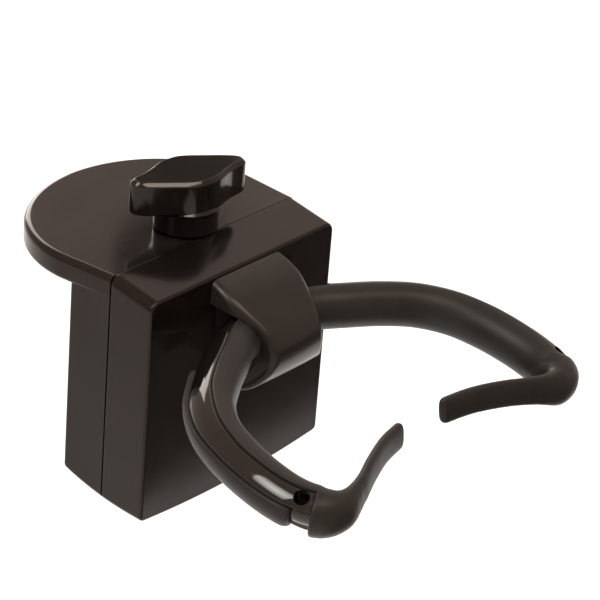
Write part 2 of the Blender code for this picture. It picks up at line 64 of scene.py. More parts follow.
# Housing, from the frame
FRONT_LOW, FRONT_HIGH = box_mm("front_housing")
REAR_LOW, REAR_HIGH = box_mm("rear_housing")
HALF_WIDTH = FRONT_HIGH.x
FRONT_Y = FRONT_LOW.y
SEAM_Y = FRONT_HIGH.y
SEAM_GAP = REAR_LOW.y - SEAM_Y
REAR_Y = box_mm("housing_screw_top_left")[1].y + 3.65
TOP_Z = REAR_HIGH.z
PLATE_END_Y = REAR_HIGH.y
PLATE_FLARE = REAR_HIGH.x - HALF_WIDTH
FRONT_DROP = 2.4
WALL = 2.4
BOTTOM_BULGE = 1.8
CORNER_BOTTOM_Z = FRONT_LOW.z + BOTTOM_BULGE
REAR_BOTTOM_RISE = 3.9
TOP_CORNER_RADIUS = 2.6
BOTTOM_CORNER_RADIUS = 1.6
FRONT_EDGE_RADIUS = 0.7
SEAM_EDGE_RADIUS = 0.35
LIP_INSET = 1.35
LIP_REACH = 1.0
SLOT_HALF_WIDTH = 10.4
SLOT_TOP_Z = -1.2
SLOT_BOTTOM_Z = -47.4
PLATE_BOTTOM_Z = 1.5
PLATE_ARC_START_Y = -13.5
PLATE_TOP_RADIUS = 1.7
PLATE_BOTTOM_RADIUS = 1.5
PAD_INSET = 3.2

# Clamp, from the frame
KNOB_LOW, KNOB_HIGH = box_mm("knob")
SCREW_LOW, SCREW_HIGH = box_mm("clamp_screw")
JAW_LOW, JAW_HIGH = box_mm("jaw")
SCREW_Y = (SCREW_LOW.y + SCREW_HIGH.y) / 2
KNOB_WING_Z = 14.6
KNOB_SKIRT_RADIUS = 8.0
KNOB_TURN_DEG = -21.0
THREAD_LEAD = 2.0
THREAD_ROOT_RADIUS = 2.35
THREAD_DEPTH = 0.6
JAW_HALF_WIDTH = JAW_HIGH.x
JAW_CENTRE_Y = JAW_HIGH.y - JAW_HALF_WIDTH
JAW_NECK_Y = REAR_Y + 2.3

# Yoke, the same curve as the CAD's; the liner runs further in, under the cowl
TUBE_RADIUS = 5.9
CORE_RADIUS = 5.35
HUB_CORE_RADIUS = 5.0
LINER_SEAT = 3.7
STRIP_SEAT = 3.6
LINER_ANGLES = (-70.0, 102.0)
STRIP_ANGLES = (160.0, 262.0)
STRIP_RADIUS = 6.5
ARM_POINTS = (
    (0.0, -50.6, -7.8),
    (8.0, -50.9, -7.8),
    (15.0, -52.9, -7.8),
    (22.1, -57.0, -8.0),
    (30.2, -61.6, -8.6),
    (38.0, -67.2, -9.6),
    (43.5, -74.6, -10.9),
    (46.2, -83.0, -12.4),
    (47.3, -91.5, -14.0),
    (47.0, -99.2, -15.4),
    (45.2, -104.8, -16.2),
    (41.5, -109.0, -16.4),
)
TONGUE_POINTS = (
    (39.3, -109.8, -15.7),
    (32.6, -108.0, -14.6),
    (24.8, -104.7, -13.9),
    (16.4, -101.5, -13.8),
    (7.3, -99.1, -14.4),
)
COVER_BEND = (
    (42.6, -107.9, -16.2),
    (38.8, -109.3, -15.7),
)
COVER_POINTS = 40
COVER_LIP = 0.5
COVER_SEAT = LINER_SEAT + 0.2
COVER_ANGLES = (LINER_ANGLES[0] + 0.8, LINER_ANGLES[1] - 0.8)
COVER_TIP_RADIUS = 1.9
# Fractions of the arm's length
HUB_EXIT = 0.09
CORE_END = 0.936
STRIP_START = 0.335
STRIP_END = 0.895
HOLE_AT = 0.909
# The round hole near each end, and the two bolts behind the hub
HOLE_ANGLE = 126.0
HOLE_RADIUS = 1.85
BOLT_X = 6.0
BOLT_Z = -8.0


# ---------------------------------------------------------------- mesh tools

def piece(name, verts, faces):
    mesh = bpy.data.meshes.new(name)
    mesh.from_pydata([Vector(v) * MM for v in verts], [], [list(f) for f in faces])
    work = bmesh.new()
    work.from_mesh(mesh)
    bmesh.ops.remove_doubles(work, verts=work.verts, dist=1e-8)
    bmesh.ops.recalc_face_normals(work, faces=work.faces)
    work.to_mesh(mesh)
    work.free()
    obj = bpy.data.objects.new(name, mesh)
    bpy.context.scene.collection.objects.link(obj)
    return obj


def loft(name, rings):
    """Closed solid through rings of equal point count, capped at both ends."""
    count = len(rings[0])
    verts = [p for ring in rings for p in ring]
    faces = []
    for i in range(len(rings) - 1):
        for j in range(count):
            k = (j + 1) % count
            faces.append((i * count + j, i * count + k, (i + 1) * count + k, (i + 1) * count + j))
    faces.append(tuple(range(count)))
    last = (len(rings) - 1) * count
    faces.append(tuple(last + j for j in range(count)))
    return piece(name, verts, faces)


def circle(centre, radius, count, axis, at):
    ring = []
    for i in range(count):
        a = 2.0 * math.pi * i / count
        u = centre[0] + radius * math.cos(a)
        v = centre[1] + radius * math.sin(a)
        ring.append((u, v, at) if axis == "z" else (u, at, v))
    return ring


def turned(name, centre, profile, axis="z", count=64):
    return loft(name, [circle(centre, r, count, axis, at) for r, at in profile])


def box(name, low, high):
    x0, y0, z0 = low
    x1, y1, z1 = high
    return loft(name, [[(x0, y0, z), (x1, y0, z), (x1, y1, z), (x0, y1, z)] for z in (z0, z1)])


def hexagon(centre, across_flats, z):
    return circle(centre, across_flats / math.sqrt(3.0), 6, "z", z)


def fillet(radius, count):
    """(depth, inset) pairs from a face to the side that a quarter round joins to it."""
    pairs = []
    for t in np.linspace(0.0, math.pi / 2, count):
        pairs.append((radius * (1.0 - math.cos(t)), radius * (1.0 - math.sin(t))))
    return pairs


def between(before, here, after, far, t):
    """Catmull-Rom point at a fraction t of the way from here to after."""
    b = after - before
    c = 2 * before - 5 * here + 4 * after - far
    d = -before + 3 * here - 3 * after + far
    return 0.5 * (2 * here + b * t + c * t * t + d * t ** 3)


def joined(objects):
    """One object holding the meshes of several."""
    work = bmesh.new()
    for obj in objects:
        work.from_mesh(obj.data)
    mesh = bpy.data.meshes.new("joined")
    work.to_mesh(mesh)
    work.free()
    for obj in objects:
        bpy.data.objects.remove(obj)
    result = bpy.data.objects.new("joined", mesh)
    bpy.context.scene.collection.objects.link(result)
    return result


def apply_modifiers(obj):
    bpy.context.view_layer.update()
    graph = bpy.context.evaluated_depsgraph_get()
    result = bpy.data.meshes.new_from_object(obj.evaluated_get(graph))
    obj.modifiers.clear()
    obj.data = result


def boolean(obj, others, operation):
    other = joined(others)
    modifier = obj.modifiers.new("boolean", "BOOLEAN")
    modifier.operation = operation
    modifier.solver = "EXACT"
    modifier.object = other
    apply_modifiers(obj)
    bpy.data.objects.remove(other)


def cut(obj, *cutters):
    boolean(obj, cutters, "DIFFERENCE")


def join(obj, *others):
    boolean(obj, others, "UNION")


def dress(obj, material, body, nodes, edge=0.0):
    """Smooth shading, eased edges, material, and the CAD nodes and body that the piece stands for."""
    obj.data.materials.clear()
    obj.data.materials.append(material)
    for polygon in obj.data.polygons:
        polygon.use_smooth = True
        polygon.material_index = 0
    obj.data.set_sharp_from_angle(angle=math.radians(40.0))
    if edge:
        bevel = obj.modifiers.new("edges", "BEVEL")
        bevel.width = edge * MM
        bevel.segments = 3
        bevel.limit_method = "ANGLE"
        bevel.angle_limit = math.radians(38.0)
        bevel.use_clamp_overlap = True
    normals = obj.modifiers.new("normals", "WEIGHTED_NORMAL")
    normals.weight = 80
    normals.keep_sharp = True
    if body:
        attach(obj, body)
    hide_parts(*nodes)
    return obj


# ---------------------------------------------------------------- materials

# Tints of the reflections on the plastics and rubbers
WARM = (1.0, 0.80, 0.70)
LESS_WARM = (1.0, 0.89, 0.80)
SOFT_WARM = (1.0, 0.88, 0.80)


def node(tree, kind, **values):
    made = tree.nodes.new(kind)
    for key, value in values.items():
        setattr(made, key, value)
    return made


def noise(tree, coords, scale, detail=3.0, roughness=0.55, stretch=None):
    made = node(tree, "ShaderNodeTexNoise")
    made.inputs["Scale"].default_value = scale
    made.inputs["Detail"].default_value = detail
    made.inputs["Roughness"].default_value = roughness
    if stretch:
        mapping = node(tree, "ShaderNodeMapping")
        mapping.inputs["Scale"].default_value = stretch
        tree.links.new(coords, mapping.inputs["Vector"])
        coords = mapping.outputs["Vector"]
    tree.links.new(coords, made.inputs["Vector"])
    return made.outputs["Fac"]


def ramp(tree, value, low, high, out_low, out_high):
    made = node(tree, "ShaderNodeMapRange")
    for key, number in zip(("From Min", "From Max", "To Min", "To Max"), (low, high, out_low, out_high)):
        made.inputs[key].default_value = number
    tree.links.new(value, made.inputs["Value"])
    return made.outputs["Result"]


def arithmetic(tree, operation, a, b):
    made = node(tree, "ShaderNodeMath", operation=operation)
    for socket, value in zip(made.inputs, (a, b)):
        if isinstance(value, (int, float)):
            socket.default_value = value
        else:
            tree.links.new(value, socket)
    return made.outputs["Value"]


def mix_colour(tree, fac, a, b):
    made = node(tree, "ShaderNodeMix", data_type="RGBA")
    tree.links.new(fac, made.inputs["Factor"])
    for key, colour in (("A", a), ("B", b)):
        socket = [s for s in made.inputs if s.name == key and s.type == "RGBA"][0]
        if isinstance(colour, tuple):
            socket.default_value = (*colour, 1.0)
        else:
            tree.links.new(colour, socket)
    return [s for s in made.outputs if s.type == "RGBA"][0]


def bump(tree, height, strength, distance, normal=None):
    made = node(tree, "ShaderNodeBump")
    made.inputs["Strength"].default_value = strength
    made.inputs["Distance"].default_value = distance
    tree.links.new(height, made.inputs["Height"])
    if normal is not None:
        tree.links.new(normal, made.inputs["Normal"])
    return made.outputs["Normal"]


def start_material(name):
    mat = bpy.data.materials.new(name)
    mat.use_nodes = True
    tree = mat.node_tree
    shader = tree.nodes["Principled BSDF"]
    coords = node(tree, "ShaderNodeTexCoord").outputs["Object"]
    return mat, tree, shader, coords


def edge_mask(tree, low=0.52, high=0.62):
    """0 on flats and 1 on outer edges, where handling polishes or pales the surface."""
    geometry = node(tree, "ShaderNodeNewGeometry")
    return ramp(tree, geometry.outputs["Pointiness"], low, high, 0.0, 1.0)


def plastic(name, dark, pale, rough, gleam, grain, tint=WARM):
    """Injection-moulded black plastic: slight flow mottling, fine grain, handling marks, paler edges."""
    mat, tree, shader, coords = start_material(name)
    cloud = noise(tree, coords, 55.0, 4.0)
    colour = mix_colour(tree, ramp(tree, cloud, 0.35, 0.7, 0.0, 1.0), dark, pale)
    worn = tuple(1.3 * c + 0.0008 for c in pale)
    wear = arithmetic(tree, "MULTIPLY", edge_mask(tree), noise(tree, coords, 240.0, 2.0))
    colour = mix_colour(tree, wear, colour, worn)
    tree.links.new(colour, shader.inputs["Base Color"])
    smear = noise(tree, coords, 38.0, 5.0, 0.62, (1.0, 0.35, 1.0))
    rubs = noise(tree, coords, 900.0, 2.0, 0.5, (0.12, 1.0, 0.6))
    base = ramp(tree, smear, 0.3, 0.75, rough * 0.82, rough * 1.28)
    scuffed = arithmetic(tree, "ADD", base, ramp(tree, rubs, 0.55, 0.8, 0.0, 0.05))
    tree.links.new(scuffed, shader.inputs["Roughness"])
    shader.inputs["Specular Tint"].default_value = (*tint, 1.0)
    shader.inputs["Specular IOR Level"].default_value = gleam
    shader.inputs["IOR"].default_value = 1.52
    waviness = bump(tree, noise(tree, coords, 26.0, 1.0), 0.25, 0.00006)
    fine = bump(tree, noise(tree, coords, 2600.0, 2.0), grain, 0.00002, waviness)
    tree.links.new(fine, shader.inputs["Normal"])
    return mat


def rubber(name, dark, pale, rough, gleam):
    """Moulded soft rubber: matte, finely pebbled, slightly polished where the neck rubs it."""
    mat, tree, shader, coords = start_material(name)
    cloud = noise(tree, coords, 90.0, 5.0)
    speck = noise(tree, coords, 3200.0, 1.0)
    broad = ramp(tree, cloud, 0.3, 0.7, 0.0, 0.8)
    mottled = arithmetic(tree, "ADD", broad, ramp(tree, speck, 0.5, 0.8, 0.0, 0.3))
    colour = mix_colour(tree, mottled, dark, pale)
    worn = tuple(1.2 * c + 0.001 for c in pale)
    colour = mix_colour(tree, edge_mask(tree, 0.51, 0.60), colour, worn)
    tree.links.new(colour, shader.inputs["Base Color"])
    smear = noise(tree, coords, 60.0, 4.0, 0.6, (1.0, 0.5, 1.0))
    tree.links.new(ramp(tree, smear, 0.3, 0.75, rough * 0.88, rough * 1.12), shader.inputs["Roughness"])
    shader.inputs["Specular Tint"].default_value = (*SOFT_WARM, 1.0)
    shader.inputs["Specular IOR Level"].default_value = gleam
    shader.inputs["IOR"].default_value = 1.5
    shader.inputs["Sheen Weight"].default_value = 0.04
    shader.inputs["Sheen Roughness"].default_value = 0.4
    shader.inputs["Sheen Tint"].default_value = (1.0, 0.9, 0.84, 1.0)
    pebble = bump(tree, noise(tree, coords, 1900.0, 3.0), 0.35, 0.00003)
    soft = bump(tree, noise(tree, coords, 70.0, 2.0), 0.15, 0.0001, pebble)
    tree.links.new(soft, shader.inputs["Normal"])
    return mat


def metal(name, colour, dull, rough):
    """Plated metal: tool marks, uneven plating and darker staining."""
    mat, tree, shader, coords = start_material(name)
    stain = noise(tree, coords, 160.0, 5.0, 0.6)
    mixed = mix_colour(tree, ramp(tree, stain, 0.4, 0.75, 0.0, 1.0), colour, dull)
    tree.links.new(mixed, shader.inputs["Base Color"])
    shader.inputs["Metallic"].default_value = 1.0
    marks = noise(tree, coords, 700.0, 3.0, 0.6, (1.0, 1.0, 4.0))
    tree.links.new(ramp(tree, marks, 0.3, 0.7, rough * 0.75, rough * 1.35), shader.inputs["Roughness"])
    tree.links.new(bump(tree, marks, 0.2, 0.00002), shader.inputs["Normal"])
    return mat


def nylon_material(name):
    """Natural nylon: milky, slightly waxy, with a faint cloudiness."""
    mat, tree, shader, coords = start_material(name)
    cloud = noise(tree, coords, 260.0, 3.0)
    colour = mix_colour(tree, cloud, (0.62, 0.59, 0.51), (0.78, 0.76, 0.69))
    tree.links.new(colour, shader.inputs["Base Color"])
    shader.inputs["Roughness"].default_value = 0.42
    shader.inputs["Subsurface Weight"].default_value = 0.15
    shader.inputs["Subsurface Scale"].default_value = 0.001
    tree.links.new(bump(tree, noise(tree, coords, 1500.0), 0.2, 0.00002), shader.inputs["Normal"])
    return mat


SHELL = plastic("shell_plastic", (0.0034, 0.0025, 0.0021), (0.0060, 0.0045, 0.0036), 0.13, 0.20, 0.05)
GLOSS = plastic("gloss_plastic", (0.0030, 0.0024, 0.0021), (0.0048, 0.0038, 0.0032), 0.07, 0.40, 0.02,
                LESS_WARM)
KNOB = plastic("knob_plastic", (0.0030, 0.0024, 0.0020), (0.0046, 0.0036, 0.0030), 0.11, 0.27, 0.03,
               LESS_WARM)
JAW_SHELL = plastic("jaw_plastic", (0.0050, 0.0040, 0.0034), (0.0090, 0.0072, 0.0060), 0.34, 0.40, 0.25)
RUBBER = rubber("soft_rubber", (0.0080, 0.0068, 0.0057), (0.0128, 0.0110, 0.0093), 0.42, 0.17)
COWL_RUBBER = rubber("cowl_rubber", (0.0058, 0.0046, 0.0038), (0.0094, 0.0075, 0.0062), 0.33, 0.24)
PAD_RUBBER = rubber("pad_rubber", (0.0130, 0.0115, 0.0105), (0.0230, 0.0205, 0.0190), 0.66, 0.40)
STEEL = metal("zinc_steel", (0.60, 0.60, 0.61), (0.36, 0.37, 0.39), 0.30)
BRASS = metal("brass", (0.68, 0.50, 0.22), (0.40, 0.27, 0.12), 0.32)
NYLON = nylon_material("nylon")


# ---------------------------------------------------------------- housing

def shell_ring(y, inset, top, rise, steps=9):
    """Outline of the housing across X and Z at one depth."""
    half = HALF_WIDTH - inset
    radius = max(TOP_CORNER_RADIUS - inset, 0.4)
    low_radius = max(BOTTOM_CORNER_RADIUS - inset, 0.4)
    upper = top - inset
    points = []
    for a in np.radians(np.linspace(0.0, 90.0, steps)):
        points.append((half - radius + radius * math.cos(a), upper - radius + radius * math.sin(a)))
    points += [(-x, z) for x, z in reversed(points)]

    def floor_z(x):
        return CORNER_BOTTOM_Z - BOTTOM_BULGE * (1.0 - (x / HALF_WIDTH) ** 2) + rise + inset

    edge = half - low_radius
    corner = []
    for a in np.radians(np.linspace(180.0, 262.0, steps)):
        z = floor_z(-edge) + low_radius * (1.0 + math.sin(a))
        corner.append((-edge + low_radius * math.cos(a), z))
    middle = [(x, floor_z(x)) for x in np.linspace(-edge, edge, 4 * steps)[1:-1]]
    points += corner + middle + [(-x, z) for x, z in reversed(corner)]
    return [(x, y, z) for x, z in points]


def bottom_rise(y):
    return REAR_BOTTOM_RISE * max((y - FRONT_Y) / (REAR_Y - FRONT_Y), 0.0) ** 2.3


def front_top(y):
    top = FRONT_HIGH.z
    return top - FRONT_DROP * (SEAM_Y - y) / (SEAM_Y - FRONT_Y)


def front_housing():
    depths = [(FRONT_Y + d, inset) for d, inset in fillet(FRONT_EDGE_RADIUS, 7)]
    depths += [(y, 0.0) for y in np.linspace(FRONT_Y + 2.0, SEAM_Y - 1.5, 8)]
    depths += [(SEAM_Y - d, inset) for d, inset in reversed(fillet(SEAM_EDGE_RADIUS, 5))]
    rings = [shell_ring(y, inset, front_top(y), bottom_rise(y)) for y, inset in depths]
    shell = loft("front_shell", rings)
    inner = []
    for y in np.linspace(FRONT_Y + WALL, SEAM_Y + 1.0, 5):
        inner.append(shell_ring(y, WALL, front_top(y), bottom_rise(y)))
    cut(shell, loft("inner", inner))
    join(shell, wall_band("lip", LIP_INSET, WALL, SEAM_Y - 1.0, SEAM_Y + LIP_REACH))
    screws = screw_places()
    post = ((3.6, FRONT_Y + 1.2), (3.6, SEAM_Y - 0.3))
    join(shell, *[turned("boss", c, post, "y", 40) for c in screws])
    holes = [turned("pilot", c, ((1.75, FRONT_Y + 3.2), (1.75, SEAM_Y + 1.0)), "y", 32) for c in screws]
    drill = ((2.25, FRONT_Y - 1.0), (2.25, FRONT_Y + 4.0))
    for x in (-BOLT_X, BOLT_X):
        holes.append(turned("bolt_hole", (x, BOLT_Z), drill, "y", 32))
    cut(shell, *holes)
    dress(shell, SHELL, "housing", ["front_housing"], 0.15)


def wall_band(name, outer_inset, inner_inset, start, end):
    """U-shaped band inside the housing's side and bottom walls, between two insets."""
    def rings(inset):
        return [shell_ring(y, inset, TOP_Z, bottom_rise(y)) for y in (start, (start + end) / 2, end)]

    band_object = loft(name, rings(outer_inset))
    spots = (start - 1.0, start, end + 1.0)
    inner = [[(x, y, z) for x, _, z in ring] for y, ring in zip(spots, rings(inner_inset))]
    cut(band_object, loft("inner", inner))
    cut(band_object, box("upper", (-40.0, start - 1.0, 0.0), (40.0, end + 1.0, 20.0)))
    return band_object


def screw_places():
    """X and Z of the four housing screws."""
    places = []
    for row in ("top", "bottom"):
        for side in ("left", "right"):
            low, high = box_mm(f"housing_screw_{row}_{side}")
            places.append(((low.x + high.x) / 2, (low.z + high.z) / 2))
    return places


def plate_outline(inset, start, count=120):
    """Plan outline: sides that flare a little from the seam, then a half-ellipse end."""
    half = HALF_WIDTH - inset
    ring = [(half, start)]
    for a in np.linspace(0.0, math.pi, count):
        x = (half + PLATE_FLARE) * math.cos(a)
        y = PLATE_ARC_START_Y + (PLATE_END_Y - inset - PLATE_ARC_START_Y) * math.sin(a)
        ring.append((x, y))
    ring.append((-half, start))
    return ring


def rear_housing():
    start = SEAM_Y + SEAM_GAP
    depths = [(start, 0.02)]
    depths += [(y, 0.02) for y in np.linspace(start + 1.5, REAR_Y - 1.2, 9)]
    depths += [(REAR_Y - d, inset + 0.02) for d, inset in reversed(fillet(0.8, 6))]
    shell = loft("rear_shell", [shell_ring(y, inset, 6.0, bottom_rise(y)) for y, inset in depths])
    levels = [(PLATE_BOTTOM_Z + d, inset) for d, inset in fillet(PLATE_BOTTOM_RADIUS, 7)]
    levels += [(TOP_Z - d, inset) for d, inset in reversed(fillet(PLATE_TOP_RADIUS, 9))]
    rings = [[(x, y, z) for x, y in plate_outline(inset, start)] for z, inset in levels]
    join(shell, loft("plate", rings))
    inner = []
    for y in np.linspace(SEAM_Y - 1.0, REAR_Y - WALL, 7):
        inner.append(shell_ring(y, WALL, PLATE_BOTTOM_Z + WALL, bottom_rise(y)))
    cut(shell, loft("inner", inner))
    cut(shell, wall_band("rebate", LIP_INSET - 0.15, WALL + 0.3, start - 0.5, start + LIP_REACH + 0.1))
    screws = screw_places()
    axis = (0.0, SCREW_Y)
    bosses = [turned("boss", c, ((4.0, start), (4.0, REAR_Y - 1.2)), "y", 40) for c in screws]
    bosses.append(turned("foot", axis, ((5.0, -50.9), (5.0, SLOT_BOTTOM_Z)), "z", 48))
    join(shell, *bosses)
    well = ((1.85, start - 1.0), (1.85, REAR_Y - 6.0), (3.2, REAR_Y - 5.9), (3.2, REAR_Y + 1.0))
    holes = [turned("hole", c, well, "y", 40) for c in screws]
    holes.append(turned("foot_hole", axis, ((3.2, -50.4), (3.2, SLOT_BOTTOM_Z + 1.0)), "z", 40))
    holes.append(turned("relief", axis, ((5.0, SLOT_TOP_Z - 0.6), (5.0, PLATE_BOTTOM_Z)), "z", 48))
    cut(shell, *holes)
    cut(shell, turned("stem_hole", axis, ((3.4, 0.0), (3.4, 7.0), (6.1, 7.01), (6.1, 9.0)), "z", 48))
    low = (-SLOT_HALF_WIDTH, REAR_Y - 3.4, SLOT_BOTTOM_Z)
    cut(shell, box("slot", low, (SLOT_HALF_WIDTH, REAR_Y + 1.0, SLOT_TOP_Z)))
    dress(shell, SHELL, "housing", ["rear_housing"], 0.25)


def housing_screws():
    """Pan-head screws with a cross recess, sunk in the back of the housing."""
    names = [f"housing_screw_{row}_{side}" for row in ("top", "bottom") for side in ("left", "right")]
    for name, centre in zip(names, screw_places()):
        tip = box_mm(name)[0].y
        seat = REAR_Y - 5.75
        profile = [(0.5, tip), (1.3, tip + 1.4)]
        for k in range(1, 26):
            y = tip + 1.4 + 0.45 * k
            profile.append((1.5 if k % 2 else 1.15, y))
        profile += [(1.5, seat - 0.3), (1.5, seat), (2.7, seat + 0.02), (2.7, seat + 0.9)]
        for a in np.radians(np.linspace(10.0, 80.0, 7)):
            profile.append((1.5 + 1.2 * math.cos(a), seat + 0.9 + 1.15 * math.sin(a)))
        screw = turned(name + "_detail", centre, profile, "y", 40)
        for dx, dz in ((1.7, 0.3), (0.3, 1.7)):
            low = (centre[0] - dx, seat + 0.9, centre[1] - dz)
            cut(screw, box("cross", low, (centre[0] + dx, seat + 3.0, centre[1] + dz)))
        dress(screw, STEEL, "housing", [name], 0.05)


def plate_pad():
    """Rubber pad under the plate, its lower face ribbed for grip."""
    low, high = box_mm("plate_pad")
    levels = [(low.z + d, PAD_INSET + inset) for d, inset in fillet(0.35, 5)] + [(high.z, PAD_INSET)]
    rings = []
    for z, inset in levels:
        outline = plate_outline(inset, low.y, 90)[1:-1]
        rings.append([(x, max(y, low.y), z) for x, y in outline])
    pad = loft("plate_pad_ribbed", rings)
    grooves = []
    for y in np.arange(low.y + 2.2, high.y - 1.5, 2.4):
        grooves.append(box("groove", (-40.0, y - 0.25, low.z - 1.0), (40.0, y + 0.25, low.z + 0.35)))
    cut(pad, *grooves)
    dress(pad, PAD_RUBBER, "housing", ["plate_pad"], 0.08)


# ---------------------------------------------------------------- clamp

def smooth_loop(points, per):
    """Closed Catmull-Rom curve through the points."""
    p = np.array(points, float)
    count = len(p)
    out = []
    for i in range(count):
        before, here, after, far = (p[(i + k) % count] for k in (-1, 0, 1, 2))
        for t in np.linspace(0.0, 1.0, per, endpoint=False):
            out.append(between(before, here, after, far, t))
    return np.array(out)


def knob_loop():
    """Plan outline that repeats after half a turn: each wing is full on one side and hollow on the other."""
    half = (
        (16.0, 1.2), (15.6, 2.6), (14.4, 3.7), (12.2, 4.7), (9.2, 5.8), (6.2, 6.8), (3.2, 7.75), (0.2, 8.15),
        (-2.6, 7.55), (-5.0, 6.6), (-7.0, 5.3), (-8.7, 4.0), (-10.4, 2.8), (-12.5, 1.65), (-14.4, 0.75),
        (-15.6, -0.1),
    )
    return smooth_loop(list(half) + [(-x, -y) for x, y in half], 5)


def knob():
    """Two-winged knob: round-edged wings and disc on a round skirt, hexagon pocket below."""
    loop = knob_loop()
    along = np.roll(loop, -1, axis=0) - np.roll(loop, 1, axis=0)
    normal = np.column_stack([along[:, 1], -along[:, 0]]) / np.linalg.norm(along, axis=1)[:, None]
    turn = math.radians(KNOB_TURN_DEG)
    spin = np.array(((math.cos(turn), math.sin(turn)), (-math.sin(turn), math.cos(turn))))

    def ring(inset, z):
        flat = (loop - normal * inset) @ spin
        return [(x, y + SCREW_Y, z) for x, y in flat]

    rings = [ring(inset, KNOB_WING_Z + d) for d, inset in fillet(0.8, 6)]
    eased = ((1.2, 0.0), (1.02, 0.02), (0.90, 0.08), (0.22, 0.72), (0.13, 0.82), (0.04, 0.94), (0.0, 1.08))
    rings += [ring(inset, KNOB_HIGH.z - d) for d, inset in eased]
    body = loft("knob_winged", rings)
    low = KNOB_LOW.z
    skirt = [(KNOB_SKIRT_RADIUS - inset, low + d) for d, inset in fillet(0.4, 5)]
    skirt += [(KNOB_SKIRT_RADIUS, KNOB_WING_Z - 1.2), (KNOB_SKIRT_RADIUS + 0.25, KNOB_WING_Z - 0.5),
              (KNOB_SKIRT_RADIUS + 0.7, KNOB_WING_Z + 0.1), (KNOB_SKIRT_RADIUS - 1.0, KNOB_WING_Z + 2.0)]
    join(body, turned("skirt", (0.0, SCREW_Y), skirt, "z", 96))
    cut(body, loft("pocket", [hexagon((0.0, SCREW_Y), 10.4, z) for z in (low - 1.0, 18.2)]))
    dress(body, KNOB, "screw", ["knob"], 0.12)


def clamp_screw():
    """Lead screw with a real helical thread between its journals, hexagon head on top."""
    thread_low = -45.6
    thread_high = -0.4
    count = 40
    rings = [circle((0.0, SCREW_Y), 1.7, count, "z", SCREW_LOW.z)]
    rings.append(circle((0.0, SCREW_Y), 2.0, count, "z", SCREW_LOW.z + 0.3))
    rings.append(circle((0.0, SCREW_Y), 2.0, count, "z", thread_low - 0.2))
    for z in np.arange(thread_low, thread_high, THREAD_LEAD / 14):
        fade = min(1.0, (z - thread_low) / 1.5, (thread_high - z) / 1.5)
        ring = []
        for k in range(count):
            a = 2 * math.pi * k / count
            phase = (z / THREAD_LEAD - k / count) % 1.0
            crest = min(1.0, max(0.0, (abs(phase - 0.5) * 2.0 - 0.32) / 0.3))
            r = THREAD_ROOT_RADIUS + (THREAD_DEPTH * crest) * fade
            ring.append((r * math.cos(a), SCREW_Y + r * math.sin(a), z))
        rings.append(ring)
    for r, z in ((2.9, 0.45), (2.4, 0.51), (2.4, 1.19), (2.95, 1.25), (2.95, 14.5)):
        rings.append(circle((0.0, SCREW_Y), r, count, "z", z))
    body = loft("clamp_screw_threaded", rings)
    join(body, loft("head", [hexagon((0.0, SCREW_Y), 10.0, z) for z in (13.6, SCREW_HIGH.z)]))
    dress(body, STEEL, "screw", ["clamp_screw"])


def jaw_outline(inset, neck_half, neck_y, back_y):
    """Plan outline of the jaw's tongue with its round end, from the slot to the tip."""
    half = JAW_HALF_WIDTH - inset
    shoulder = []
    for a in np.radians(np.linspace(270.0, 360.0, 8)):
        shoulder.append((half - 1.6 + 1.6 * math.cos(a), neck_y + 1.6 + inset + 1.6 * math.sin(a)))
    tip = []
    for a in np.linspace(0.0, math.pi, 60):
        tip.append((half * math.cos(a), JAW_CENTRE_Y + half * math.sin(a)))
    root = [(neck_half, back_y), (neck_half, neck_y + inset)]
    ring = root + shoulder + tip + [(-x, y) for x, y in reversed(shoulder)]
    return ring + [(-x, y) for x, y in reversed(root)]


def jaw():
    low = JAW_LOW.z
    top = JAW_HIGH.z
    levels = [(low + d, inset) for d, inset in fillet(0.9, 6)]
    levels += [(top - d, inset) for d, inset in reversed(fillet(0.5, 5))]
    rings = []
    for z, inset in levels:
        rings.append([(x, y, z) for x, y in jaw_outline(inset, 9.9, JAW_NECK_Y, REAR_Y - 3.6)])
    body = loft("jaw_ribbed", rings)
    join(body, box("carriage", (-14.0, JAW_LOW.y, low), (14.0, REAR_Y - 3.0, top)))
    nut_z = top - 7.2
    pocket = [hexagon((0.0, SCREW_Y), 10.6, z) for z in (nut_z, nut_z + 5.4)]
    cut(body, loft("nut_pocket", pocket))
    cut(body, box("nut_slot", (-5.3, JAW_LOW.y - 1.0, nut_z), (5.3, SCREW_Y + 3.0, nut_z + 5.4)))
    cut(body, turned("screw_hole", (0.0, SCREW_Y), ((3.4, low - 1.0), (3.4, top + 1.0)), "z", 48))
    ribs = ((-11.0, -5.9), (-3.9, 3.9), (5.9, 11.0))
    cut(body, *[box("rib_pocket", (a, -12.3, low - 1.0), (b, -3.0, low + 6.0)) for a, b in ribs])
    dress(body, JAW_SHELL, "jaw", ["jaw"], 0.25)
    jaw_pad()


def jaw_pad():
    """Rubber pad on the jaw, ribbed like the one above it."""
    low, high = box_mm("jaw_pad")
    levels = [(low.z, 1.2), (low.z + 0.7, 1.2)]
    levels += [(high.z - d, 1.2 + inset) for d, inset in reversed(fillet(0.4, 5))]
    rings = []
    for z, inset in levels:
        outline = jaw_outline(inset, 9.0, JAW_NECK_Y + 0.6, JAW_NECK_Y + 0.3)
        rings.append([(x, max(y, low.y), z) for x, y in outline])
    pad = loft("jaw_pad_ribbed", rings)
    grooves = []
    for y in np.arange(low.y + 2.0, high.y - 1.2, 2.4):
        grooves.append(box("groove", (-20.0, y - 0.25, high.z - 0.35), (20.0, y + 0.25, high.z + 1.0)))
    cut(pad, *grooves)
    dress(pad, PAD_RUBBER, "jaw", ["jaw_pad"], 0.08)


# ---------------------------------------------------------------- yoke

